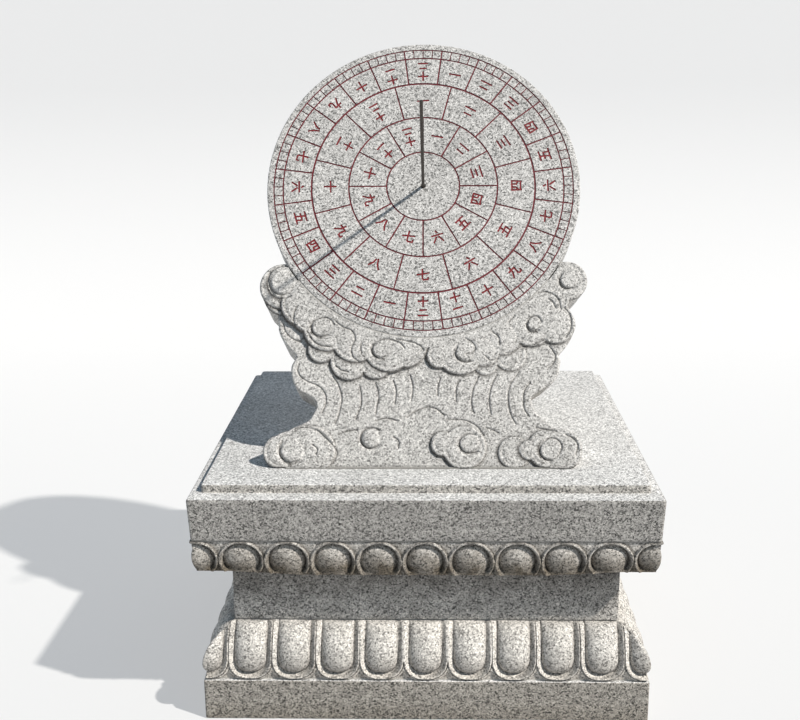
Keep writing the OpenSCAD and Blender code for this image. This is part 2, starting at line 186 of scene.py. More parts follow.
def stain_and_shade_by_height(tree, place, colour, dark_z, unchanged_z, tone):
    """Colour darkened towards one height and unchanged at another, with an uneven edge between; the
    stones use it for painted shade, and for dirt as well on the bead course and the waist.
    """
    split = node_of(tree, "ShaderNodeSeparateXYZ")
    tree.links.new(place, split.inputs["Vector"])
    height = node_of(tree, "ShaderNodeMapRange", From_Min=dark_z, From_Max=unchanged_z)
    tree.links.new(split.outputs["Z"], height.inputs["Value"])
    patches = textured(tree, place, "ShaderNodeTexNoise", Scale=24.0, Detail=5.0, Roughness=0.6)
    uneven = node_of(tree, "ShaderNodeMath", operation="MULTIPLY_ADD")
    uneven.inputs[1].default_value = 0.7
    tree.links.new(patches.outputs["Fac"], uneven.inputs[0])
    tree.links.new(height.outputs["Result"], uneven.inputs[2])
    shade = ramp_of(tree, uneven.outputs["Value"], [(0.3, tone), (1.0, 1.0)])
    return multiplied(tree, colour, shade)


def darkened_by_shade_and_dirt(tree, colour):
    """Colour darkened where a piece marks painted shade and dirt: in crevices and grooves and on sides
    that face away from the sun.
    """
    mark = node_of(tree, "ShaderNodeAttribute", attribute_name="shade_and_dirt")
    shade = ramp_of(tree, mark.outputs["Fac"], [(0.0, 1.0), (1.0, (0.2, 0.19, 0.18))])
    return multiplied(tree, colour, shade)


def cells(tree, place, scale, channel):
    """Random value for each mineral grain of a given fineness."""
    texture = textured(tree, place, "ShaderNodeTexVoronoi", Scale=scale, Randomness=1.0)
    split = node_of(tree, "ShaderNodeSeparateColor")
    tree.links.new(texture.outputs["Color"], split.inputs["Color"])
    return split.outputs[channel]


def roughen(tree, shader, height, tooth, depth):
    """Bumps on a shader's surface that follow a height."""
    bump = node_of(tree, "ShaderNodeBump", Strength=tooth, Distance=depth)
    tree.links.new(height, bump.inputs["Height"])
    tree.links.new(bump.outputs["Normal"], shader.inputs["Normal"])


def granite(name, brightness, warmth, contrast, roughness, tooth, stain_and_shade=None):
    """Speckled granite: feldspar and quartz grains with black mica, and slow changes of tone."""
    material, tree, shader, place = new_material(name)
    tint = (brightness * (1 + warmth), brightness, brightness * (1 - 1.5 * warmth))

    def eased(k):
        return 1.0 + contrast * (k - 1.0)

    shades = [(0.0, 0.18), (0.09, 0.5), (0.26, 0.94), (0.52, 1.14), (0.82, 1.5)]
    grain_tones = [(p, tuple(min(1.0, eased(k) * c) for c in tint)) for p, k in shades]
    grains = ramp_of(tree, cells(tree, place, 290.0, "Red"), grain_tones, smooth=False)
    flecks = [(0.0, 0.3), (0.12, 0.74), (0.32, 1.04), (0.75, 1.22)]
    fleck_tones = [(p, eased(k)) for p, k in flecks]
    specks = ramp_of(tree, cells(tree, place, 560.0, "Green"), fleck_tones, smooth=False)
    cloud = textured(tree, place, "ShaderNodeTexNoise", Scale=5.0, Detail=4.0, Roughness=0.6)
    slow = ramp_of(tree, cloud.outputs["Fac"], [(0.3, 0.9), (0.7, 1.08)])
    # Darker where the piece marks painted shade and dirt, and darker by height where a stone asks for it
    colour = darkened_by_shade_and_dirt(tree, multiplied(tree, multiplied(tree, grains, specks), slow))
    if stain_and_shade:
        colour = stain_and_shade_by_height(tree, place, colour, *stain_and_shade)
    tree.links.new(colour, shader.inputs["Base Color"])
    set_values(shader, Roughness=roughness, Specular_IOR_Level=0.3)
    rough = textured(tree, place, "ShaderNodeTexNoise", Scale=330.0, Detail=5.0, Roughness=0.65)
    roughen(tree, shader, rough.outputs["Fac"], tooth, depth=0.0012)
    return material


def plain_stuff(name, dark, light, scale, roughness, metallic=0.0, tooth=0.3, dark_at=0.3):
    """Material of one stuff with blotches between a dark and a light colour."""
    material, tree, shader, place = new_material(name)
    blotch = textured(tree, place, "ShaderNodeTexNoise", Scale=scale, Detail=6.0, Roughness=0.6)
    colour = ramp_of(tree, blotch.outputs["Fac"], [(dark_at, dark), (0.7, light)])
    tree.links.new(colour, shader.inputs["Base Color"])
    set_values(shader, Roughness=roughness, Metallic=metallic)
    roughen(tree, shader, blotch.outputs["Fac"], tooth, depth=0.0008)
    return material


# Stones by brightness, warmth, contrast, roughness and tooth
HONED = granite("granite_honed", 0.312, 0.045, 0.95, 0.6, 0.15)
# The plinth is a darker copy of the honed granite, painted shade for less light on the low faces, and it
# is darker still towards its foot
PLINTH = granite("granite_plinth", 0.28, 0.075, 1.0, 0.65, 0.15, stain_and_shade=(-0.02, 0.1, (0.72, 0.69, 0.64)))
# The waist is painted darker towards its top: the shade under the bead course, with brown dirt just
# below the beads
WAIST = granite("granite_waist", 0.475, 0.05, 0.95, 0.6, 0.15, stain_and_shade=(0.39, 0.16, (0.13, 0.12, 0.11)))
RISER = granite("granite_riser", 0.45, 0.05, 0.9, 0.7, 0.15)
FLAMED = granite("granite_flamed", 0.655, 0.015, 0.75, 0.85, 0.3)
# The lotus course is painted darker towards its foot: shade on the lower parts of the petals
CARVED = granite("granite_carved", 0.595, 0.045, 0.75, 0.85, 0.3, stain_and_shade=(0.1, 0.2, (0.88, 0.85, 0.81)))
# The bead course is painted darker towards its bottom: shade under the beads and brown dirt
BEADED = granite("granite_beaded", 0.61, 0.045, 0.8, 0.85, 0.3, stain_and_shade=(0.40, 0.53, (0.24, 0.21, 0.17)))
STAND = granite("granite_stand", 0.535, 0.03, 0.7, 0.85, 0.3)
DIAL = granite("granite_dial", 0.497, 0.025, 0.84, 0.62, 0.15)
# Other stuffs by dark and light colour, scale of the blotches and roughness
LINE_PAINT = plain_stuff("line_paint", (0.11, 0.010, 0.016), (0.20, 0.017, 0.026), 160.0, 0.6)
SIGN_PAINT = plain_stuff("sign_paint", (0.15, 0.009, 0.013), (0.28, 0.016, 0.023), 160.0, 0.6)
MORTAR = plain_stuff("mortar", (0.26, 0.25, 0.23), (0.40, 0.385, 0.36), 220.0, 0.95, tooth=0.7)
LIME = plain_stuff("lime_mortar", (0.5, 0.48, 0.45), (0.64, 0.62, 0.58), 220.0, 0.95, tooth=0.7)
STEEL = plain_stuff("dowel_steel", 0.50, 0.62, 300.0, 0.35, metallic=1.0, tooth=0.1)
RESIN = plain_stuff("stone_resin", (0.40, 0.385, 0.36), (0.53, 0.51, 0.48), 180.0, 0.6)
ANCHOR = plain_stuff("anchor_resin", (0.06, 0.052, 0.046), (0.12, 0.105, 0.095), 180.0, 0.6)
ROD = plain_stuff("gnomon_metal", (0.035, 0.03, 0.026), (0.085, 0.07, 0.058), 240.0, 0.5,
                  metallic=0.5, dark_at=0.35)


# Pedestal

def node_block(node):
    """Half width, foot and top of a square CAD node, in millimetres."""
    low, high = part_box(node)
    return high[0] / MM, low[2] / MM, high[2] / MM


def even_columns(half, count):
    """Places along a face at equal steps."""
    return np.linspace(-half, half, count, endpoint=False)


def corner_columns(half):
    """Places along a face that lie closer together towards its ends."""
    count = 260
    return half * np.sin(math.pi / 2 * even_columns(1.0, count))


def square_sweep(rows, corner_r, x, relief):
    """Rings of points round a square plan with rounded corners, one for each (half width, height).

    relief(x, z) gives the outward offset and the painted shade and dirt at x along a face, which is
    mitred at its ends."""
    side = np.sign(x)
    rings, shades_and_dirt = [], []
    for half, z in rows:
        lift, shade_and_dirt = relief(side * np.minimum(np.abs(x), half), z)
        shades_and_dirt.append(np.tile(shade_and_dirt, 4))
        out = half + lift
        from_corner = np.maximum(out - np.abs(x), (1 - math.sqrt(0.5)) * corner_r)
        fall = np.clip(corner_r - from_corner, 0.0, None)
        along = side * (out - from_corner)
        out = out - corner_r + np.sqrt(corner_r ** 2 - fall ** 2)
        quarters = [np.column_stack([along, -out, np.full_like(x, z)])]
        for _ in range(3):
            last = quarters[-1]
            quarters.append(np.column_stack([-last[:, 1], last[:, 0], last[:, 2]]))
        rings.append(np.concatenate(quarters))
    return np.array(rings), np.array(shades_and_dirt)


def closed_band(rings):
    """Points and faces of rings joined row by row and capped at both ends."""
    count, size = rings.shape[:2]
    j = np.arange(size)
    k = (j + 1) % size
    faces = []
    for row in range(count - 1):
        low, high = row * size, (row + 1) * size
        faces += np.column_stack([low + j, low + k, high + k, high + j]).tolist()
    faces.append(list(range(size - 1, -1, -1)))
    faces.append(list(range((count - 1) * size, count * size)))
    return rings.reshape(-1, 3), faces


# Insets of a rounded edge from its two faces, for a radius of one
EDGE_STEPS = 4
ROUNDING = [(1 - math.sin(a), 1 - math.cos(a)) for a in np.linspace(0.0, math.pi / 2, EDGE_STEPS + 1)]


def edge_rows(half, low, high, low_edge, high_edge):
    """Rows of a block's face with rounded lower and upper edges."""
    middle = 6
    start, end = low + low_edge, high - high_edge
    rows = [(half - low_edge * s, low + low_edge * c) for s, c in ROUNDING]
    rows += [(half, start + (end - start) * i / middle) for i in range(1, middle)]
    rows += [(half - high_edge * c, high - high_edge * s) for s, c in ROUNDING]
    return rows


def worn(rings, depth, seed):
    """Rings with small chips along the block's edges and slightly uneven faces."""
    points = rings.reshape(-1, 3)
    chips = np.clip(grain(points, 38.0, 1.0, seed) - 0.28, 0.0, None)
    chips += 0.4 * np.clip(grain(points, 11.0, 1.0, seed + 7) - 0.35, 0.0, None)
    level = points[:, 2]
    near = np.minimum(level - level.min(), level.max() - level)
    pull = depth * chips * np.exp(-near / 5.0) + grain(points, 120.0, 0.3, seed + 3)
    radius = np.maximum(np.abs(points[:, 0]), np.abs(points[:, 1]))
    points[:, :2] *= (1 - pull / radius)[:, None]
    return rings


def no_relief(x, z):
    """Plain face with no relief and no painted shade or dirt."""
    return np.zeros_like(x), np.zeros_like(x)


def plain_block(node, name, material, low_edge, high_edge, seed):
    """Plain square block with worn edges and a flamed top."""
    half, low, high = node_block(node)
    corner_r, chip_depth = 5.0, 4.0
    rows = edge_rows(half, low, high, low_edge, high_edge)
    rings, _ = square_sweep(rows, corner_r, corner_columns(half), no_relief)
    points, faces = closed_band(worn(rings, chip_depth, seed))
    # The last face is the top, and the row of faces that meets it comes before both caps
    paint = np.zeros(len(faces))
    paint[-1] = 1
    paint[-2 - rings.shape[1]:-2] = 1
    make_piece(name, points, faces, [material, FLAMED], "granite_honed", [node], paint=paint)


def top_slab():
    """Slab whose faces lean in below, with a ledge that is widest in front and a flamed raised field."""
    half, low, high = node_block("top_slab")
    ledge_w, front_ledge_w, field_h, lean, corner_r = 28.0, 50.0, 20.0, 5.0, 7.0
    ledge_z, field = high - field_h, half - ledge_w
    face = edge_rows(half, low, ledge_z, low_edge=2.0, high_edge=5.0)
    face = [(out - lean * (ledge_z - z) / (ledge_z - low), z) for out, z in face]
    riser = [(field + 1.0, ledge_z), (field, ledge_z + 1.0)]
    riser += edge_rows(field, ledge_z, high, low_edge=1.0, high_edge=3.0)[EDGE_STEPS + 1:]
    rings, _ = square_sweep(face + riser, corner_r, corner_columns(half), no_relief)
    upper_y = rings[len(face):, :, 1]
    upper_y[upper_y < 0] *= 1 - (front_ledge_w - ledge_w) / field
    points, faces = closed_band(rings)
    honed, flamed, sawn = 0, 1, 2
    bands = [honed] * (len(face) - 2) + [flamed] * 2 + [sawn] * (len(riser) - 3) + [flamed] * 2
    paint = np.concatenate([np.repeat(bands, rings.shape[1]), [honed, flamed]])
    make_piece("top_slab_stone", points, faces, [HONED, FLAMED, RISER], "granite_honed", ["top_slab"],
               paint=paint)


def kept_out(level, from_edge, reach, limit):
    """Level that is filled up to a limit towards a face's edge, so that the edge's line stays whole."""
    near = np.clip(1 - from_edge / reach, 0.0, 1.0)
    return level + near * (np.maximum(level, limit) - level)


def lotus_course():
    """Upright petals: a swelling belly in a hollow, a wide sloping lip and a fine ridge round it."""
    half, low, high = node_block("lotus_course")
    tall = high - low
    pitch = PITCH_SHARE * half
    lip_r, belly_r, squareness = pitch / 2 - 1.0, 39.0, 2.4
    belly_h, trough, gap, corner_r = 24.0, -15.0, -7.0, 4.0
    outline = smooth_line([(0, -5), (16, -5.5), (40, -9), (73, -19), (106, -40), (tall, -63)], 24)

    def swell(h):
        return np.interp(h, outline[:, 0], outline[:, 1])

    def petals(x, z):
        h = z - low
        dx = x - np.round(x / pitch) * pitch
        below = max(0.0, lip_r + 2.0 - h)
        rho = (np.abs(dx) ** squareness + below ** squareness) ** (1 / squareness)
        lip = np.interp(rho - lip_r, [belly_r - lip_r, -2.0, 0.0, 1.5, 4.0, 5.5, 8.0],
                        [trough, 0.0, -0.5, gap, -3.0, -3.5, gap - 2.0])
        level = np.where(rho < belly_r, trough + domed(rho, belly_r, belly_h), lip)
        # Painted shade on the slope that faces away from the sun, in the gaps and on the belly's lower
        # and left parts; shade and dirt in the trough round the belly
        shaded = np.clip(2 * dx / lip_r, 0.0, 1.0) * ((rho > belly_r) & (rho < lip_r - 3.0))
        in_gap = np.interp(rho - lip_r, [0.0, 0.6, 2.4, 3.2, 5.5, 7.0], [0.0, 0.7, 0.7, 0.0, 0.0, 0.25])
        to_left = np.clip(-dx / belly_r, 0.0, 1.0)
        low_belly = (rho < belly_r) * (np.interp(h, [10.0, 85.0], [0.6, 0.0]) + 0.15 * to_left)
        in_trough = 0.45 * bell(rho - belly_r, 2.6)
        shade_and_dirt = np.max([in_trough, 0.34 * shaded, in_gap, low_belly], axis=0)
        return kept_out(level, half + swell(h) - np.abs(x), reach=24.0, limit=-4.0), shade_and_dirt

    straight_from = 58.0
    curved = np.linspace(0.0, straight_from, 38, endpoint=False)
    heights = np.concatenate([curved, np.linspace(straight_from, tall, 12)])
    rows = [(half + swell(h), low + h) for h in heights]
    rings, shades_and_dirt = square_sweep(rows, corner_r, even_columns(half, 48 * (ORNAMENTS + 1)), petals)
    make_piece("lotus_course_stone", *closed_band(rings), [CARVED], "granite_carved", ["lotus_course"],
               sharp=60.0, shade_and_dirt=shades_and_dirt)


def bead_course():
    """Round beads in horseshoe niches with sloping lips; the face leans in and hangs below the bed."""
    half, low, high = node_block("bead_course")
    bed, inner, hang = low, node_block("waist_block")[0] + 4.0, 9.0
    low -= hang
    tall = high - low
    pitch = PITCH_SHARE * half
    lip_r, bead_r, centre = pitch / 2 - 1.2, 43.0, 24.5 + hang
    lip, bead_top, field, floor, corner_r = 2.0, 3.0, -6.0, -16.0, 3.0

    def lean(h):
        return 8.0 * (1 - h / tall) ** 1.2

    def beads(x, z):
        h = z - low
        dx = x - np.round(x / pitch) * pitch
        rho = np.hypot(dx, h - centre)
        niche = np.interp(rho - lip_r, [bead_r - lip_r, -3.5, 0.0, 2.0], [floor, lip - 1.0, lip, field])
        level = np.where(rho < bead_r, floor + domed(rho, bead_r, bead_top - floor), niche)
        level = kept_out(level, h, reach=16.0, limit=-2.0)
        # Painted shade in the niches and gaps on the side away from the sun and on the beads' lower
        # left, some dirt in the niches, and a dark line along the joint under the slab
        right = np.clip(1.5 * dx / lip_r, 0.0, 1.0)
        in_niche = (0.3 + 0.3 * right) * bell(rho - bead_r, 4.5)
        in_gap = (0.3 + 0.6 * right) * np.interp(rho - lip_r, [0.5, 1.5, 3.0, 5.5], [0.0, 1.0, 1.0, 0.3])
        lower_left = np.clip(0.1 - (0.6 * dx + 0.8 * (h - centre)) / bead_r, 0.0, 1.0)
        on_bead = 0.5 * lower_left * (rho < bead_r)
        in_joint = np.full_like(x, 0.7 * np.interp(h, [tall - 4.0, tall - 1.5], [0.0, 1.0]))
        shade_and_dirt = np.max([in_niche, in_gap, on_bead, in_joint], axis=0)
        return kept_out(level, half - lean(h) - np.abs(x), reach=26.0, limit=-2.0), shade_and_dirt

    x = even_columns(half, 50 * (ORNAMENTS + 1))
    underside = [(inner, bed), (inner, low)]
    face = [(half - lean(h), low + h) for h in np.linspace(0.0, tall, 45)]
    inside, no_shade_or_dirt = square_sweep(underside, corner_r, x, no_relief)
    outside, shades_and_dirt = square_sweep(face, corner_r, x, beads)
    rings, shades_and_dirt = np.concatenate([inside, outside]), np.concatenate([no_shade_or_dirt, shades_and_dirt])
    from_corner = half - np.abs(rings[1:, :, :2]).min(axis=2)
    # The hanging edge rises to the bed towards the corners
    raised = np.interp(from_corner, [90.0, 260.0], [hang, 0.0])
    rings[1:, :, 2] += raised * (high - rings[1:, :, 2]) / tall
    make_piece("bead_course_stone", *closed_band(rings), [BEADED], "granite_carved", ["bead_course"],
               sharp=60.0, shade_and_dirt=shades_and_dirt)


# Cloud stand, drawn in its leaning face: u to the right, v up the lean, w out of the face

def leaning(u, v, w):
    """Points of the leaning frame in the object's frame."""
    sin, cos = math.sin(LATITUDE), math.cos(LATITUDE)
    u, v, w = np.broadcast_arrays(u, v, w)
    return np.column_stack([STAND_X + u, FOOT_Y + v * sin - w * cos, FOOT_Z + v * cos + w * sin])


# Clouds as (u, v, radius, level of the top)
FRONT_CLOUDS = [
    (-353, 475, 43, 0.0), (-300, 420, 60, 0.0), (-285, 395, 50, 0.0), (-240, 358, 62, 0.0),
    (-168, 330, 63, 0.0), (-85, 310, 67, 0.0), (-50, 315, 62, 0.0), (-10, 338, 36, 0.0),
    (42, 285, 33.5, 0.0), (92, 297, 62, 0.0), (150, 298, 42, 0.0), (200, 330, 45, 0.0),
    (270, 365, 58, 0.0), (330, 365, 51, 0.0), (295, 392, 55, 0.0), (331, 427, 36, 0.0),
    (363, 478, 51, 0.0)
]
LOW_CLOUDS = [
    (-356, 468, 60, -7.0), (-354, 447, 53, -12.0), (-255, 303, 35, -6.0), (-185, 271, 48, -6.0),
    (-118, 267, 41, -6.0), (155, 265, 31, -4.0), (216, 286, 41, -4.0)
]
FOOT_CLOUDS = [
    (-352, 42, 42, -2.0), (-330, 48, 46, -2.0), (-295, 45, 62, -2.0), (-275, 45, 60, -2.0),
    (49, 61, 31, 0.0), (100, 52, 54, 0.0), (222, 40, 40, -4.0), (258, 46, 25, 0.0), (300, 49, 47, 0.0),
    (335, 46, 53, 0.0)
]
# Knobs of the curls as (u, v, radius)
KNOBS = [
    (-357, 476, 30), (-254, 358, 24), (-102, 301, 23), (104, 294, 22), (276, 364, 14), (367, 480, 20),
    (-321, 43, 28), (-129, 76, 22), (112, 62, 22), (309, 47, 24)
]
# Half widths of the stand at heights v, to the left and to the right
LEFT_EDGE = [
    (0, 325), (60, 340), (94, 333), (112, 300), (119, 286), (128, 278), (140, 272), (150, 267),
    (158, 265), (168, 268), (178, 275), (188, 290), (196, 305), (206, 318), (220, 325), (240, 330),
    (262, 330), (280, 321), (290, 322), (303, 335), (313, 343), (325, 352), (340, 360), (355, 365),
    (370, 366), (393, 368), (420, 362), (447, 345)
]
RIGHT_EDGE = [
    (0, 335), (60, 345), (90, 341), (114, 304), (133, 285), (155, 272), (177, 267), (190, 280),
    (211, 314), (230, 332), (256, 339), (274, 342), (285, 338), (307, 356), (330, 370), (354, 379),
    (377, 381), (398, 371), (421, 361), (447, 345)
]
# Lines cut into the clouds and into the plain stone between them
LINES = [
    [(-391, 505), (-394, 493), (-392, 470), (-385, 453), (-372, 439), (-356, 434), (-335, 439)],
    [(-317, 413), (-325, 397), (-327, 377), (-321, 363), (-309, 353)],
    [(-224, 363), (-230, 374), (-241, 381), (-257, 381), (-275, 373), (-283, 360), (-278, 345),
     (-267, 337), (-253, 334), (-238, 338)],
    [(-285, 335), (-274, 321), (-258, 311), (-235, 307)],
    [(-219, 371), (-200, 357), (-181, 349), (-172, 335), (-172, 321), (-179, 307), (-179, 290),
     (-172, 277), (-160, 269)],
    [(-153, 315), (-157, 304), (-154, 290)],
    [(-46, 302), (-57, 315), (-76, 323), (-95, 326), (-113, 320), (-126, 309), (-129, 297), (-126, 288),
     (-117, 281), (-105, 278), (-89, 283)],
    [(-68, 326), (-28, 318), (-6, 307), (1, 297)],
    [(-218, 259), (-205, 248), (-186, 243)],
    [(-353, 371), (-350, 354), (-337, 337), (-321, 327), (-307, 323)],
    [(-311, 267), (-315, 251), (-308, 235), (-291, 222), (-269, 213), (-252, 201), (-242, 181),
     (-243, 159), (-251, 140)],
    [(350, 493), (344, 481), (346, 466), (357, 457), (375, 459)],
    [(289, 445), (306, 448), (326, 442), (340, 427), (345, 407)],
    [(314, 430), (325, 421), (331, 407)],
    [(296, 369), (288, 383), (274, 384), (263, 374), (259, 360), (264, 348), (276, 343), (289, 348)],
    [(204, 290), (224, 293), (235, 302), (250, 307), (266, 309), (283, 315), (305, 325)],
    [(353, 407), (367, 389), (370, 368), (367, 348), (355, 328)],
    [(314, 309), (325, 294), (329, 279), (322, 262), (310, 252)],
    [(105, 328), (123, 316), (130, 302), (122, 291), (106, 287)],
    [(85, 305), (80, 288), (88, 273), (103, 267), (123, 269)],
    [(171, 346), (188, 330), (190, 310)],
    [(154, 282), (168, 271), (185, 277)],
    [(214, 369), (229, 386)],
    [(-226, 234), (-212, 212), (-203, 181), (-204, 162), (-212, 126), (-218, 113)],
    [(-159, 210), (-154, 184), (-155, 157), (-167, 124)],
    [(-120, 217), (-113, 198), (-111, 176), (-115, 157), (-117, 137)],
    [(-75, 223), (-68, 198), (-70, 163)],
    [(-33, 237), (-26, 206), (-30, 170)],
    [(43, 228), (36, 205), (36, 183)],
    [(91, 222), (82, 205), (81, 169)],
    [(137, 230), (125, 203), (119, 175), (120, 155), (125, 139)],
    [(184, 236), (170, 211), (163, 180), (164, 152), (167, 136)],
    [(239, 244), (219, 216), (210, 191), (210, 166), (215, 136), (228, 111)],
    [(265, 216), (251, 197), (247, 174), (249, 149), (261, 130)],
    [(-346, 67), (-353, 56), (-353, 37), (-342, 24), (-323, 16), (-307, 20)],
    [(-314, 99), (-288, 102), (-261, 95), (-242, 78), (-223, 59), (-212, 43), (-214, 29), (-222, 16)],
    [(-271, 59), (-260, 48), (-262, 35)],
    [(-107, 96), (-123, 102), (-144, 97), (-154, 83), (-153, 67), (-143, 56), (-130, 51), (-109, 58)],
    [(-207, 86), (-186, 94), (-162, 97)],
    [(-117, 120), (-93, 126), (-64, 120)],
    [(-74, 80), (-61, 70), (-61, 51)],
    [(-40, 129), (-21, 143), (2, 152), (17, 154), (33, 149), (52, 133)],
    [(60, 122), (84, 123), (108, 119), (132, 106), (148, 84)],
    [(127, 84), (108, 85), (93, 75), (88, 60), (97, 45), (113, 38), (134, 42)],
    [(154, 103), (170, 97), (186, 89)],
    [(311, 76), (298, 68), (286, 54), (285, 37), (295, 24), (311, 20)],
    [(311, 76), (329, 70), (337, 54), (331, 35)],
    [(348, 84), (367, 73), (377, 57), (371, 35)],
    [(277, 103), (301, 97), (325, 92)]
]
LINE_DEPTH = 4.0
LINE_SPREAD = 2.0


def union_depth(u, v, clouds):
    """Distance inside the joined outline of round clouds."""
    return np.max([r - np.hypot(u - cu, v - cv) for cu, cv, r, _ in clouds], axis=0)


def rim_depth(u, v):
    """Distance inside the band of stone along the dial's rim, from horn to horn."""
    band_r, horn_v = 432.0, 480.0
    return np.minimum(band_r - np.hypot(u, v - DIAL_V), horn_v - v)


def side_depth(u, v):
    """Distance inside the plain stone's left and right edges."""
    left, right = smooth_line(LEFT_EDGE), smooth_line(RIGHT_EDGE)
    inside_left = u + np.interp(v, left[:, 0], left[:, 1])
    inside_right = np.interp(v, right[:, 0], right[:, 1]) - u
    return np.minimum(np.minimum(inside_left, inside_right), LEFT_EDGE[-1][0] - v)


def front_depth(u, v):
    """Distance inside the upper clouds that stand out furthest."""
    return np.maximum(union_depth(u, v, FRONT_CLOUDS), rim_depth(u, v))


def seat_depth(u, v):
    """Distance outside the dial's round seat."""
    return np.hypot(u, v - DIAL_V) - POCKET_R


def outline_depth(u, v):
    """Distance inside the stand's outline as seen square to its face, without the dial's seat."""
    depth = np.maximum(side_depth(u, v), front_depth(u, v))
    depth = np.maximum(depth, union_depth(u, v, LOW_CLOUDS + FOOT_CLOUDS))
    return np.minimum(depth, seat_depth(u, v))


def rounded_edge(depth, radius):
    """Fall of a surface near its edge, and steeply outside it."""
    outer_slope = 14.0
    k = np.clip(1 - depth / radius, 0.0, 1.0)
    return radius * (1 - np.sqrt(1 - k ** 2)) + outer_slope * np.clip(-depth, 0.0, None)


def line_distance(u, v, line):
    """Distance of each point from a carved line, where it is near."""
    dense = smooth_line(line, 5)
    low, high = dense.min(axis=0) - 12.0, dense.max(axis=0) + 12.0
    near = (u > low[0]) & (u < high[0]) & (v > low[1]) & (v < high[1])
    pu, pv = u[near], v[near]
    found = np.full(pu.shape, 1e9)
    for (au, av), (bu, bv) in zip(dense, dense[1:]):
        du, dv = bu - au, bv - av
        t = np.clip(((pu - au) * du + (pv - av) * dv) / (du * du + dv * dv + 1e-9), 0.0, 1.0)
        found = np.minimum(found, np.hypot(pu - au - t * du, pv - av - t * dv))
    best = np.full(u.shape, 1e9)
    best[near] = found
    return best


def nearest_line(u, v):
    """Distance of each point from the nearest carved line."""
    return np.min([line_distance(u, v, line) for line in LINES], axis=0)


def plain_level(u, v):
    """Level of the plain stone: it lies deepest beside the upper left clouds."""
    upper = np.interp(v, [120.0, 230.0], [0.0, 1.0])
    return -10.0 + upper * np.interp(u, [-80.0, 60.0], [-6.0, 1.0])


def knob_level(u, v, knob):
    """Rise of a curl's round knob, with a trough round it that is deepest at the lower left."""
    ku, kv, kr = knob
    rise, trough = 4.5, 4.0
    rho = np.hypot(u - ku, v - kv)
    lower_left = 0.5 - 0.5 * (u - ku + v - kv) / (np.maximum(rho, 1.0) * math.sqrt(2.0))
    return domed(rho, kr, rise) - trough * lower_left * bell(rho - kr - 4.0, 5.0)


def stand_level(u, v):
    """Level w of the carved face, without its lines."""
    plain_edge, cloud_edge, dome_h = 6.0, 5.0, 2.0
    inner_depth, inner_inset, inner_w = 1.6, 11.0, 3.0
    face = plain_level(u, v) - rounded_edge(np.maximum(side_depth(u, v), 0.0), plain_edge)
    face = np.maximum(face, -rounded_edge(rim_depth(u, v), cloud_edge))
    for clouds in (FRONT_CLOUDS, LOW_CLOUDS, FOOT_CLOUDS):
        inner_line = inner_depth * bell(union_depth(u, v, clouds) - inner_inset, inner_w)
        for cu, cv, r, level in clouds:
            depth = r - np.hypot(u - cu, v - cv)
            dome = dome_h * np.clip(1 - depth / r, 0.0, 1.0) ** 2
            face = np.maximum(face, level - dome - inner_line - rounded_edge(depth, cloud_edge))
    for knob in KNOBS:
        face += knob_level(u, v, knob)
    return np.minimum(face, 0.0)


def lower_left_share(du, dv):
    """Share from 0 to 1 by how far a place lies to the lower left of a centre."""
    along = (0.79 * du + 0.61 * dv) / np.maximum(np.hypot(du, dv), 1.0)
    return np.clip(0.45 - 0.55 * along, 0.0, 1.0)


def stand_shade_and_dirt(u, v, face):
    """Painted shade and dirt along the foot, in the carved lines, and at the lower left of clouds and
    knobs, the side away from the sun.
    """
    above_foot = v + face * math.tan(LATITUDE)
    shade_and_dirt = np.maximum(0.5 * bell(nearest_line(u, v), 1.7), 0.6 * bell(above_foot, 3.5))
    for cu, cv, r, level in FRONT_CLOUDS + LOW_CLOUDS + FOOT_CLOUDS:
        rho = np.hypot(u - cu, v - cv)
        amount = 0.3 + 0.7 * lower_left_share(u - cu, v - cv)
        spread = bell(np.clip(rho - r, 0.0, None), 5.5)
        below = (rho > r - 1.0) & (face < level - 2.5)
        shade_and_dirt = np.maximum(shade_and_dirt, np.where(below, amount * spread, 0.0))
    for ku, kv, kr in KNOBS:
        ring = bell(np.hypot(u - ku, v - kv) - kr - 2.5, 2.5)
        shade_and_dirt = np.maximum(shade_and_dirt, 0.9 * lower_left_share(u - ku, v - kv) ** 2 * ring)
    return shade_and_dirt


def lattice(u0, u1, v0, v1, step):
    """Triangular lattice: places and triangles."""
    rise = step * math.sqrt(0.75)
    rows, cols = int((v1 - v0) / rise) + 1, int((u1 - u0) / step) + 1
    i, j = np.mgrid[0:rows, 0:cols]
    u = u0 + (j + 0.5 * (i % 2)) * step
    v = v0 + i * rise
    place = i * cols + j
    a, b, c, d = place[:-1, :-1], place[:-1, 1:], place[1:, :-1], place[1:, 1:]
    odd = i[:-1, :-1] % 2 == 1
    first = np.stack([a, b, np.where(odd, d, c)], axis=-1)
    second = np.stack([np.where(odd, a, b), d, c], axis=-1)
    return u.ravel(), v.ravel(), np.concatenate([first.reshape(-1, 3), second.reshape(-1, 3)])


def pulled_to(level, u, v, band):
    """Places within band of a line where level() is zero, moved onto that line."""
    h = 0.3
    for _ in range(2):
        d = level(u, v)
        near = np.abs(d) < band
        pu, pv, pd = u[near], v[near], d[near]
        gu = (level(pu + h, pv) - level(pu - h, pv)) / (2 * h)
        gv = (level(pu, pv + h) - level(pu, pv - h)) / (2 * h)
        size = np.maximum(gu ** 2 + gv ** 2, 0.25)
        u, v = u.copy(), v.copy()
        u[near] = pu - pd * gu / size
        v[near] = pv - pd * gv / size
    return u, v


def border_loop(tris):
    """Places along the border of a triangle mesh, in order, with the mesh on the left."""
    edges = np.concatenate([tris[:, [0, 1]], tris[:, [1, 2]], tris[:, [2, 0]]])
    seen = set(map(tuple, edges.tolist()))
    after = {a: b for a, b in seen if (b, a) not in seen}
    loops = []
    while after:
        start, step = after.popitem()
        loop = [start]
        while step != start:
            loop.append(step)
            step = after.pop(step)
        loops.append(loop)
    return np.array(max(loops, key=len))


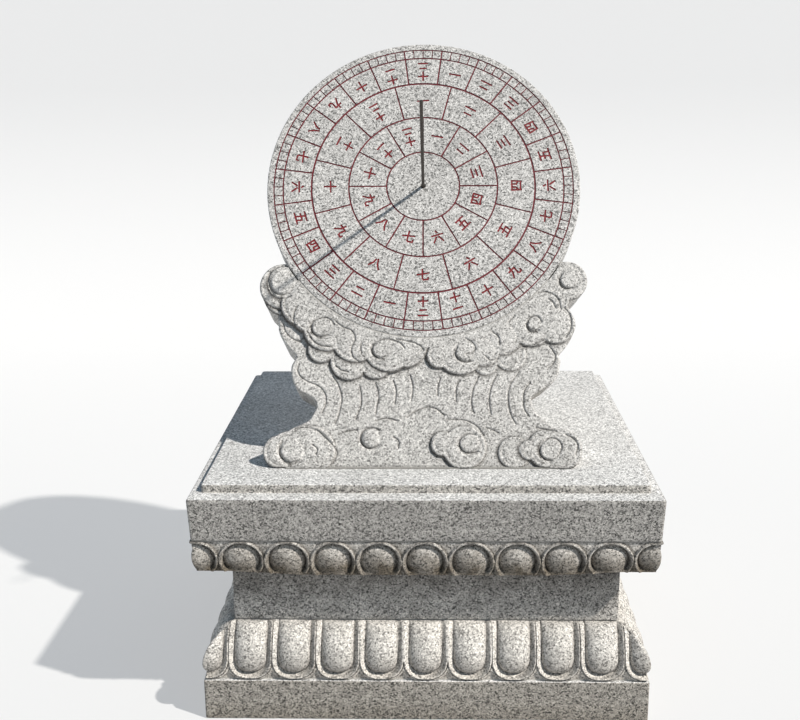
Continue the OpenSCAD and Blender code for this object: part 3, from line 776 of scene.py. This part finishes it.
def stand_walls(u, v, face, loop):
    """Points and faces that close the carved face with walls, the seat's floor, a back and a foot."""
    slope = math.tan(LATITUDE)
    loop = np.roll(loop, -int(np.argmin(v[loop] + 1e-3 * np.abs(u[loop]))))
    lu, lv, lw = u[loop], v[loop], face[loop]
    size = loop.size
    along = np.arange(size)
    above = np.flatnonzero(lv > STAND_T * slope)
    first, last = above[0], above[-1]
    at_back = (along >= first) & (along <= last)
    floor = np.where(at_back, -STAND_T, np.maximum(-lv / slope, -STAND_T))
    seat = np.flatnonzero((np.abs(seat_depth(lu, lv)) < 0.3) & (lv < BACK_WALL_V))
    enter, leave = seat[0], seat[-1]
    in_seat = (along >= enter) & (along <= leave)

    places = np.column_stack([lu, lv])
    run = np.roll(places, -3, axis=0) - np.roll(places, 3, axis=0)
    length = np.maximum(np.linalg.norm(run, axis=1), 1e-6)
    inward = np.column_stack([-run[:, 1], run[:, 0]]) / length[:, None]
    free = np.where(in_seat, 0.0, 1.0)
    to_right = np.interp(lu, [0.0, 150.0], [0.0, 1.0])
    to_top = np.interp(lv, [100.0, 220.0], [0.0, 1.0])
    off_seat = np.clip(seat_depth(lu, lv) / 30.0, 0.0, 1.0)
    round_edge, drawn_in = 3.0, 14.0
    taper = drawn_in * free * to_right * to_top * off_seat
    shares = (0.15, 0.4, 0.65, 0.85, 1.0)
    points, rings = [], [loop]
    start = u.size
    deep = np.maximum(floor, POCKET_W)
    levels = [lw + (deep - lw) * share for share in shares]
    levels += [np.maximum(floor, -STAND_T + round_edge), floor]
    pushes = [0.0] * (len(levels) - 1) + [round_edge]
    for level, push in zip(levels, pushes):
        bumps = grain(np.column_stack([lu, lv, level]), 16.0, 0.8, 11) * free * (deep < -60.0)
        inset = bumps + push * free * at_back + taper * (lw - level) / STAND_T
        points.append(leaning(lu + inset * inward[:, 0], lv + inset * inward[:, 1], level))
        rings.append(start + along)
        start += size

    faces = []
    ahead = (along + 1) % size
    for row, (upper, lower) in enumerate(zip(rings, rings[1:])):
        wall = np.column_stack([upper[ahead], upper, lower, lower[ahead]])
        kept = wall if row < len(shares) else wall[~(in_seat & in_seat[ahead])]
        faces += kept.tolist()
    seat_floor, edge, back = rings[len(shares)], rings[-2], rings[-1]
    faces.append(seat_floor[enter:leave + 1][::-1].tolist())
    step_left = [ring[enter] for ring in (seat_floor, edge, back)]
    step_right = [ring[leave] for ring in (back, edge, seat_floor)]
    faces.append(step_left + step_right)
    faces.append(np.concatenate([back[first:enter + 1], back[leave:last + 1]])[::-1].tolist())
    faces.append(np.concatenate([back[last:], back[:first + 1]])[::-1].tolist())
    return points, [list(map(int, f)) for f in faces]


def cloud_stand():
    """Leaning slab: a carved face, a round seat, a right side drawn in to the flat back, a flat foot."""
    step = 2.15
    snap = 0.5 * step
    left, right, low, high = -416.0, 424.0, -4.0, 536.0
    slope = math.tan(LATITUDE)
    u, v, tris = lattice(left, right, low, high, step)
    u, v = pulled_to(lambda p, q: union_depth(p, q, LOW_CLOUDS), u, v, snap)
    u, v = pulled_to(lambda p, q: union_depth(p, q, FOOT_CLOUDS), u, v, snap)
    u, v = pulled_to(front_depth, u, v, snap)
    u, v = pulled_to(nearest_line, u, v, snap)
    u, v = pulled_to(outline_depth, u, v, 0.7 * step)
    face = stand_level(u, v)
    inside = (outline_depth(u, v) > -0.05) & (v + face * slope > -0.6 * step)
    tris = tris[inside[tris].all(axis=1)]
    used = np.unique(tris)
    place = np.full(u.size, -1)
    place[used] = np.arange(used.size)
    u, v, face, tris = u[used], v[used], face[used], place[tris]

    # Painted shade and dirt for each point of the carved face
    shade_and_dirt = stand_shade_and_dirt(u, v, face)
    flat = np.column_stack([u, v, np.zeros_like(u)])
    face -= LINE_DEPTH * bell(nearest_line(u, v), LINE_SPREAD)
    face += grain(flat, 30.0, 0.5, 3) + grain(flat, 8.0, 0.2, 5)
    v = np.maximum(v, -face * slope)
    points, walls = stand_walls(u, v, face, border_loop(tris))
    points = np.vstack([leaning(u, v, face)] + points)
    shade_and_dirt = np.concatenate([shade_and_dirt, np.zeros(len(points) - len(shade_and_dirt))])
    make_piece("cloud_stand_stone", points, tris.tolist() + walls, [STAND], "granite_carved",
               ["cloud_stand"], sharp=50.0, shade_and_dirt=shade_and_dirt)


def rear_brace():
    """Brace with rounded edges: straight along the stand's back, swept down behind."""
    low, high = (np.array(p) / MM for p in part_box("rear_brace"))
    top, reach, edge = 70.0, 130.0, 6.0
    tall = high[2] - low[2]
    sweep_r = (tall ** 2 + reach ** 2) / (2 * reach)
    top_back = high[1] - reach
    turns = np.linspace(0.0, math.asin(tall / sweep_r), 24)
    sweep = [(top_back + sweep_r * (1 - math.cos(a)), high[2] - sweep_r * math.sin(a)) for a in turns]
    corners = [(low[1], low[2]), (high[1], low[2])] + sweep[-2::-1] + [(top_back - top, high[2])]
    outline = np.array(corners)
    run = np.roll(outline, -1, axis=0) - outline
    side = np.column_stack([-run[:, 1], run[:, 0]]) / np.linalg.norm(run, axis=1)[:, None]
    inward = side + np.roll(side, 1, axis=0)
    inward /= np.sum(inward * side, axis=1)[:, None]
    half = (high[0] - low[0]) / 2
    left = [(-half + edge * c, edge * s) for s, c in ROUNDING]
    middle = [(half * (i / 5 - 1), 0.0) for i in range(1, 10)]
    rows = left + middle + [(-x, inset) for x, inset in reversed(left)]
    rings = []
    for x, inset in rows:
        ring = outline + inset * inward
        rings.append(np.column_stack([np.full(len(ring), STAND_X + x), ring]))
    band = closed_band(np.array(rings))
    make_piece("rear_brace_stone", *band, [STAND], "granite_carved", ["rear_brace"])


# Dial

RING_SHARES = (1.0, 0.938, 0.747, 0.497, 0.2435)
RING_WIDTHS = (3.2, 3.6, 4.8, 4.0, 3.8)
HOURS = 24
LINE_W, TICK_W, SIGN_W = 4.2, 2.8, 5.0
# Strokes of the numerals from one to ten, in a square from 0 to 1
NUMERALS = {
    1: [[(0.06, 0.48), (0.94, 0.54)]],
    2: [[(0.2, 0.74), (0.8, 0.76)], [(0.05, 0.2), (0.95, 0.22)]],
    3: [[(0.14, 0.86), (0.86, 0.88)], [(0.22, 0.5), (0.78, 0.52)], [(0.03, 0.12), (0.97, 0.14)]],
    4: [[(0.1, 0.85), (0.14, 0.1)], [(0.1, 0.85), (0.9, 0.87), (0.86, 0.1)],
        [(0.38, 0.85), (0.36, 0.56), (0.24, 0.4)], [(0.62, 0.85), (0.62, 0.5), (0.76, 0.44)],
        [(0.13, 0.16), (0.87, 0.17)]],
    5: [[(0.12, 0.88), (0.88, 0.9)], [(0.46, 0.88), (0.34, 0.08)],
        [(0.2, 0.52), (0.74, 0.54), (0.69, 0.08)], [(0.04, 0.07), (0.96, 0.09)]],
    6: [[(0.45, 0.98), (0.55, 0.82)], [(0.06, 0.62), (0.94, 0.65)], [(0.38, 0.46), (0.12, 0.06)],
        [(0.6, 0.46), (0.88, 0.06)]],
    7: [[(0.04, 0.5), (0.96, 0.64)],
        [(0.45, 0.94), (0.45, 0.18), (0.54, 0.09), (0.88, 0.1), (0.9, 0.26)]],
    8: [[(0.38, 0.78), (0.3, 0.45), (0.06, 0.1)], [(0.54, 0.84), (0.68, 0.45), (0.96, 0.1)]],
    9: [[(0.38, 0.94), (0.34, 0.5), (0.08, 0.06)],
        [(0.1, 0.66), (0.66, 0.69), (0.62, 0.2), (0.7, 0.09), (0.92, 0.1), (0.94, 0.28)]],
    10: [[(0.04, 0.52), (0.96, 0.55)], [(0.5, 0.96), (0.5, 0.03)]]
}


def signs_of(number):
    """Numeral signs of a number up to twelve, in reading order."""
    return [number] if number <= 10 else [10, number - 10]


def stroke_quad(a, b, width):
    """Thin quadrilateral along a stroke, a little past both ends and narrower at the second one."""
    a, b = np.asarray(a), np.asarray(b)
    run = (b - a) / np.linalg.norm(b - a)
    side = np.array([-run[1], run[0]]) * width / 2
    a, b = a - 0.4 * width * run, b + 0.4 * width * run
    return np.array([a - side, b - 0.85 * side, b + 0.85 * side, a + side])


def numeral_quads(number, radius, turn):
    """Strokes of a number at an angle of the dial, its head towards the centre."""
    signs = signs_of(number)
    size = 32.0 if len(signs) == 1 else 26.0
    out = np.array([math.cos(turn), math.sin(turn)])
    right = np.array([-out[1], out[0]])
    quads = []
    for place, sign in enumerate(signs):
        middle = radius + (place - (len(signs) - 1) / 2) * 1.12 * size
        for stroke in NUMERALS[sign]:
            path = [out * (middle - (y - 0.5) * size) + right * (x - 0.5) * size for x, y in stroke]
            quads += [stroke_quad(a, b, SIGN_W) for a, b in zip(path, path[1:])]
    return quads


def radial_quads(inner, outer, count, offset, width):
    """Straight lines between two rings at equal steps, the first one set off by a share of the step."""
    quads = []
    for i in range(count):
        turn = math.pi / 2 + (i + offset) * 2 * math.pi / count
        out = np.array([math.cos(turn), math.sin(turn)])
        quads.append(stroke_quad(out * inner * SCALE_R, out * outer * SCALE_R, width))
    return quads


def dial_lines():
    """Straight engraved lines: hours, double hours and the quarter ticks of the outer scale."""
    r = RING_SHARES
    quads = radial_quads(r[2], r[0], HOURS, 0.5, LINE_W)
    for quarter in (0.25, 0.0, 0.75):
        quads += radial_quads(r[1], r[0], HOURS, quarter, TICK_W)
    quads += radial_quads(r[3], r[2], HOURS // 2, 0.5, LINE_W)
    quads += radial_quads(r[4], r[3], HOURS // 2, 0.0, LINE_W)
    return quads


def dial_signs():
    """Numerals of the three rings; noon is at the bottom of the outer one."""
    r = RING_SHARES
    quads = []
    for hour in range(HOURS):
        turn = -math.pi / 2 - hour * 2 * math.pi / HOURS
        quads += numeral_quads((hour - 1) % 12 + 1, (r[1] + r[2]) / 2 * SCALE_R, turn)
    step = 4 * math.pi / HOURS
    for hour in range(1, HOURS // 2 + 1):
        turn = math.pi / 2 - (hour - 1) * step
        quads += numeral_quads(hour, (r[2] + r[3]) / 2 * SCALE_R, turn)
        quads += numeral_quads(hour, (r[3] + r[4]) / 2 * SCALE_R, turn - step / 2)
    return quads


def circle_points(radius, count):
    """Points round a circle."""
    turns = np.arange(count) * 2 * math.pi / count
    return np.column_stack([radius * np.cos(turns), radius * np.sin(turns)])


def dial_face(edge_r, segments, hole_segments):
    """Points, faces and paints of the engraved face, with its strokes sunk."""
    sink = 1.6
    stone, line, sign = 0, 1, 2
    rings = [(share * SCALE_R, width / 2) for share, width in zip(RING_SHARES, RING_WIDTHS)]
    loops = [circle_points(edge_r, segments), circle_points(GNOMON_HOLE_R, hole_segments)]
    for radius, half in rings:
        loops += [circle_points(radius + side * half, segments) for side in (-1, 1)]
    first_line = len(loops)
    loops += dial_lines()
    first_sign = len(loops)
    loops += dial_signs()
    places, polygons = [], []
    for loop in loops:
        polygons.append(list(range(len(places), len(places) + len(loop))))
        places += [Vector(p) for p in loop]
    flat, _, tris, _, _, origins = delaunay_2d_cdt(places, [], polygons, 1, 1e-4)
    flat = np.array([(p.x, p.y) for p in flat])
    count = len(flat)

    faces, paint, colour_at = [], [], {}
    for tri, origin in zip(tris, origins):
        tri = list(tri)
        centre = np.linalg.norm(flat[tri].mean(axis=0))
        if centre < GNOMON_HOLE_R:
            continue
        in_ring = any(abs(centre - radius) < half for radius, half in rings)
        stroke = max(origin)
        colour = stone
        if in_ring or first_line <= stroke < first_sign:
            colour = line
        elif stroke >= first_sign:
            colour = sign
        faces.append(tri if colour == stone else [i + count for i in tri])
        paint.append(colour)
        for a, b in zip(tri, tri[1:] + tri[:1]):
            colour_at[(a, b)] = colour
    for (a, b), colour in colour_at.items():
        beside = colour_at.get((b, a), stone)
        if colour == stone and beside != stone:
            faces.append([b, a, a + count, b + count])
            paint.append(beside)
    points = np.vstack([np.column_stack([flat, np.full(count, w)]) for w in (0.0, -sink)])
    return points, faces, paint


def turned_band(profile, size, start):
    """Points and faces of a (radius, w) profile turned round the dial's axis."""
    points = [np.column_stack([circle_points(radius, size), np.full(size, w)]) for radius, w in profile]
    j = np.arange(size)
    k = (j + 1) % size
    faces = []
    for row in range(len(profile) - 1):
        a, b = start + row * size, start + (row + 1) * size
        faces += np.column_stack([a + j, b + j, b + k, a + k]).tolist()
    return np.vstack(points), faces


def dial_disc():
    """Disc with engraved and painted rings, lines and numerals, and a rounded rim."""
    segments, hole_segments, edge = 288, 32, 3.5
    points, faces, paint = dial_face(DIAL_R - edge, segments, hole_segments)
    rim = [(DIAL_R - edge * s, -edge * c) for s, c in ROUNDING]
    rim += [(DIAL_R, -DIAL_T * k / 6) for k in range(1, 6)]
    rim += [(DIAL_R - edge * c, edge * s - DIAL_T) for s, c in ROUNDING]
    hole = [(GNOMON_HOLE_R, -DIAL_T), (GNOMON_HOLE_R, 0.0)]
    rim_points, rim_faces = turned_band(rim, segments, len(points))
    hole_start = len(points) + len(rim_points)
    hole_points, hole_faces = turned_band(hole, hole_segments, hole_start)
    back_rim = hole_start - segments
    ratio = segments // hole_segments
    back_faces = []
    for i in range(hole_segments):
        outer = [back_rim + (i * ratio + n) % segments for n in range(ratio, -1, -1)]
        back_faces.append([hole_start + i, hole_start + (i + 1) % hole_segments] + outer)
    local = np.vstack([points, rim_points, hole_points])
    faces += rim_faces + hole_faces + back_faces
    paint += [0] * (len(faces) - len(paint))
    world = leaning(local[:, 0], local[:, 1] + DIAL_V, local[:, 2])
    make_piece("dial_stone", world, faces, [DIAL, LINE_PAINT, SIGN_PAINT], "granite_dial", ["dial_disc"],
               paint=paint)


# Stone pieces, and finishes of the parts that show their CAD shapes
plain_block("base_plinth", "plinth_stone", PLINTH, low_edge=4.0, high_edge=3.0, seed=1)
lotus_course()
plain_block("waist_block", "waist_stone", WAIST, low_edge=1.0, high_edge=2.0, seed=2)
bead_course()
top_slab()
cloud_stand()
rear_brace()
dial_disc()

CAD_FINISHES = {
    "plinth_mortar": LIME, "lotus_mortar": LIME, "waist_mortar": MORTAR, "bead_mortar": MORTAR,
    "stand_mortar": MORTAR, "brace_mortar": MORTAR, "course_dowels": STEEL, "stand_dowels": STEEL,
    "brace_dowels": STEEL, "dial_pins": STEEL, "brace_resin": RESIN, "dial_resin": RESIN,
    "gnomon_resin": ANCHOR, "gnomon": ROD
}
for node, material in CAD_FINISHES.items():
    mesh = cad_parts[node].data
    mesh.materials.clear()
    mesh.materials.append(material)


# Stage, light and camera

def studio_floor():
    """Pale floor that sweeps up behind the object."""
    width, near, bend_y, bend_r, top, steps = 60.0, -60.0, 3.2, 1.4, 5.0, 12
    profile = [(near, 0.0), (bend_y, 0.0)]
    for i in range(1, steps + 1):
        a = math.pi / 2 * i / steps
        profile.append((bend_y + bend_r * math.sin(a), bend_r * (1 - math.cos(a))))
    profile.append((bend_y + bend_r, top))
    points = [(x, y, z) for y, z in profile for x in (-width, width)]
    faces = [(2 * i, 2 * i + 1, 2 * i + 3, 2 * i + 2) for i in range(len(profile) - 1)]
    mesh = bpy.data.meshes.new("studio_floor")
    mesh.from_pydata(points, [], faces)
    mesh.shade_smooth()
    material, _, shader, _ = new_material("studio_paper")
    set_values(shader, Base_Color=(0.40, 0.40, 0.40, 1.0), Roughness=0.9)
    set_values(shader, Emission_Color=(1.0, 1.0, 1.0, 1.0), Emission_Strength=0.43)
    mesh.materials.append(material)
    floor = placed("studio_floor", mesh)


def sun_and_sky():
    """Warm sun from the right front and a weak blue sky."""
    sun = bpy.data.lights.new("key_sun", "SUN")
    sun.energy = 4.4
    sun.angle = math.radians(1.5)
    sun.color = (1.0, 0.96, 0.9)
    lamp = placed("key_sun", sun)
    towards = Vector((0.615, -0.34, 0.711)).normalized()
    lamp.rotation_euler = towards.to_track_quat("Z", "Y").to_euler()
    world = bpy.data.worlds.new("soft_sky")
    world.use_nodes = True
    sky = world.node_tree.nodes["Background"]
    set_values(sky, Color=(0.32, 0.64, 1.0, 1.0), Strength=0.18)
    bpy.context.scene.world = world


def photo_camera():
    """Camera fitted to the photograph's view of the pedestal and the dial."""
    focal_px, image_w = 1164.0, 800.0
    place = Vector((0.0202, -3.0742, 1.5616))
    pitch, yaw, roll = math.radians(14.45), math.radians(-1.69), math.radians(-0.54)
    ahead = Vector((math.sin(yaw) * math.cos(pitch), math.cos(yaw) * math.cos(pitch), -math.sin(pitch)))
    right = Vector((math.cos(yaw), -math.sin(yaw), 0.0))
    up = right.cross(ahead)
    across = right * math.cos(roll) + up * math.sin(roll)
    upright = -right * math.sin(roll) + up * math.cos(roll)
    data = bpy.data.cameras.new("photo_camera")
    data.sensor_fit = "HORIZONTAL"
    data.sensor_width = 36.0
    data.lens = data.sensor_width * focal_px / image_w
    camera = placed("photo_camera", data)
    turn = Matrix((across, upright, -ahead)).transposed()
    camera.matrix_world = Matrix.Translation(place) @ turn.to_4x4()
    bpy.context.scene.camera = camera


studio_floor()
sun_and_sky()
photo_camera()
bpy.context.scene.view_settings.view_transform = "Standard"
